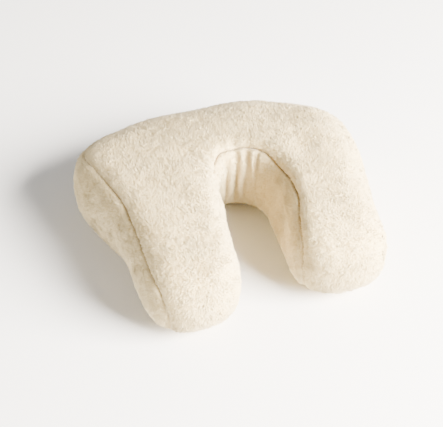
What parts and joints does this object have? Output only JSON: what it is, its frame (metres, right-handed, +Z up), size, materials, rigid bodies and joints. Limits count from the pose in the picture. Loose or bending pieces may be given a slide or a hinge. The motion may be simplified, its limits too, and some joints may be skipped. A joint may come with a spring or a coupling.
{
  "type": "face cradle cushion",
  "caption": "Horseshoe face cradle cushion in cream plush fleece over two foam layers, with a zip and loop strips underneath.",
  "frame": {"origin": "centre of the base, on the plane of the loop strips' faces", "axes": "+Z up, +Y towards the arch (the legs point to -Y), +X across"},
  "size_m": [0.3036, 0.292, 0.0965],
  "materials": {
    "plush_fleece": "cream plush fleece, short soft pile",
    "cotton_liner": "plain woven cotton, natural white",
    "memory_foam": "open-cell foam, matte",
    "support_foam": "open-cell foam, matte",
    "loop_tape": "knitted loop tape, off-white",
    "zip_tape": "woven polyester, off-white",
    "nylon_coil": "extruded nylon, off-white",
    "zip_metal": "nickel-plated, satin",
    "label_satin": "woven satin, blank"
  },
  "bodies": {
    "cushion": {"cover_top_panel": "plush_fleece", "cover_outer_wall": "plush_fleece", "cover_inner_wall": "plush_fleece", "cover_bottom_panel": "plush_fleece", "liner_upper": "cotton_liner", "liner_lower": "cotton_liner", "foam_comfort_layer": "memory_foam", "foam_support_layer": "support_foam", "loop_strip_left": "loop_tape", "loop_strip_right": "loop_tape", "loop_strip_arch": "loop_tape", "zip_tape_front": "zip_tape", "zip_tape_rear": "zip_tape", "zip_coil_front": "nylon_coil", "zip_coil_rear": "nylon_coil", "zip_top_stops": "zip_metal", "zip_bottom_stop": "zip_metal", "care_label": "label_satin"},
    "slider": {"zip_slider": "zip_metal"},
    "pull": {"zip_pull_tab": "zip_metal"}
  },
  "joints": [
    {"name": "zip_slide", "type": "slide", "parent": "cushion", "child": "slider", "axis": [-1, 0, 0], "range_m": [0, 0.188]},
    {"name": "pull_swing", "type": "hinge", "parent": "slider", "child": "pull", "pos_m": [0.094, 0.062, 0.0034], "axis": [0, -1, 0], "range_deg": [0, 150]}
  ]
}
